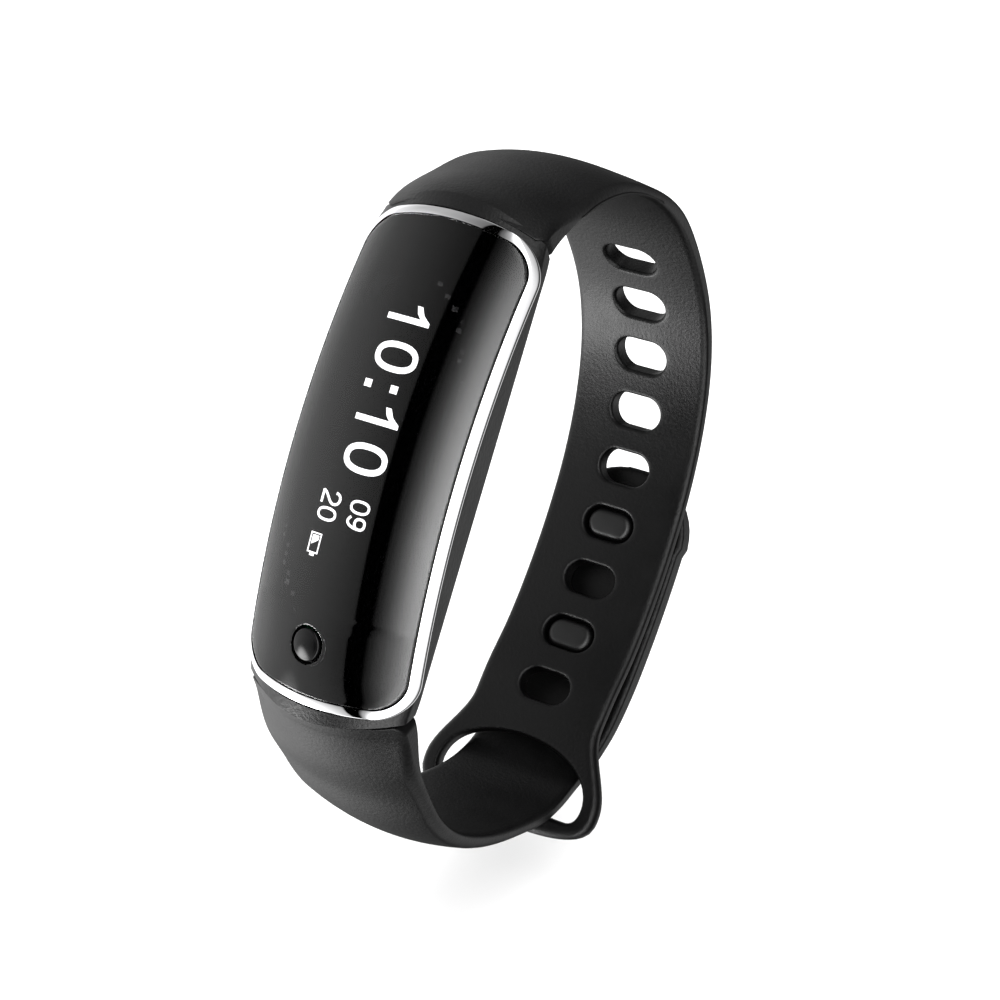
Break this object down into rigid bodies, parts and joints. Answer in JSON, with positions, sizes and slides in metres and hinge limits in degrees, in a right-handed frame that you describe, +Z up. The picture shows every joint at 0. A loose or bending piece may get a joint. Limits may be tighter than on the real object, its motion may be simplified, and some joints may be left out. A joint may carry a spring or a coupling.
{
  "type": "fitness tracker band",
  "caption": "Slim wrist activity tracker: curved glossy display capsule with bright bevel ring and touch key, on a tapered silicone strap closed by pegs through a hoop.",
  "frame": {"origin": "centre of the wrist opening, half way along the band's width", "axes": "+X runs along the wrist across the band, -Y is the side the display looks to, +Z is up; the display's outward normal lies in the YZ plane, 31.5 degrees above -Y"},
  "size_m": [0.0218, 0.0626, 0.0741],
  "materials": {
    "silicone": "matte, very fine grain",
    "housing": "fine satin",
    "lens": "polished smoked window",
    "chrome": "polished",
    "key": "polished dome",
    "peg": "semi-gloss",
    "panel": "display and sensor glass, opaque",
    "board": "solder mask",
    "chip": "moulded package",
    "shield": "tin plate",
    "battery": "foil pouch",
    "foam": "foam",
    "flex": "film",
    "steel": "satin",
    "gold": "plated",
    "gasket": "moulded",
    "diffuser": "frosted lens"
  },
  "bodies": {
    "band": {"mid_housing": "housing", "bezel_ring": "chrome", "lens": "lens", "key_switch": "chip", "oled_panel": "panel", "display_bracket": "housing", "display_flex": "flex", "main_board": "board", "radio_chip": "chip", "shield_can": "shield", "motion_sensor_chip": "chip", "chip_antenna": "flex", "battery": "battery", "battery_pad": "foam", "motor_case": "steel", "motor_base": "steel", "sensor_board": "board", "sensor_led_left": "diffuser", "sensor_led_right": "diffuser", "sensor_photodiode": "chip", "sensor_window": "panel", "back_cover": "housing", "back_gasket": "gasket", "charge_contact_left": "gold", "charge_contact_right": "gold", "back_screw_1": "steel", "back_screw_2": "steel", "back_screw_3": "steel", "back_screw_4": "steel", "hole_strap": "silicone", "lower_strap": "silicone", "hole_strap_pin": "steel", "lower_strap_pin": "steel"},
    "key": {"key_cap": "key"},
    "switch_plunger": {"key_switch_plunger": "steel"},
    "rotor": {"motor_rotor": "gold"},
    "tail": {"strap_tail": "silicone", "clasp_pegs": "peg"}
  },
  "joints": [
    {"name": "key_press", "type": "slide", "parent": "band", "child": "key", "axis": [0, 0.8526, -0.5225], "range_m": [0, 0.00025], "stiffness_N_per_m": 2000, "springref_m": -0.0003},
    {"name": "switch_press", "type": "slide", "parent": "band", "child": "switch_plunger", "axis": [0, 0.8526, -0.5225], "range_m": [0, 0.00025]},
    {"name": "motor_spin", "type": "hinge", "parent": "band", "child": "rotor", "pos_m": [0, -0.02502, 0.00243], "axis": [0, -0.8526, 0.5225], "continuous": true},
    {"name": "tail_lift", "type": "hinge", "parent": "band", "child": "tail", "pos_m": [0, 0.00279, -0.03232], "axis": [-1, 0, 0], "range_deg": [0, 60], "stiffness_Nm_per_rad": 0.02, "springref_deg": -11.46}
  ],
  "couplings": [
    {"joint": "switch_press", "follows": "key_press", "ratio": 1}
  ]
}
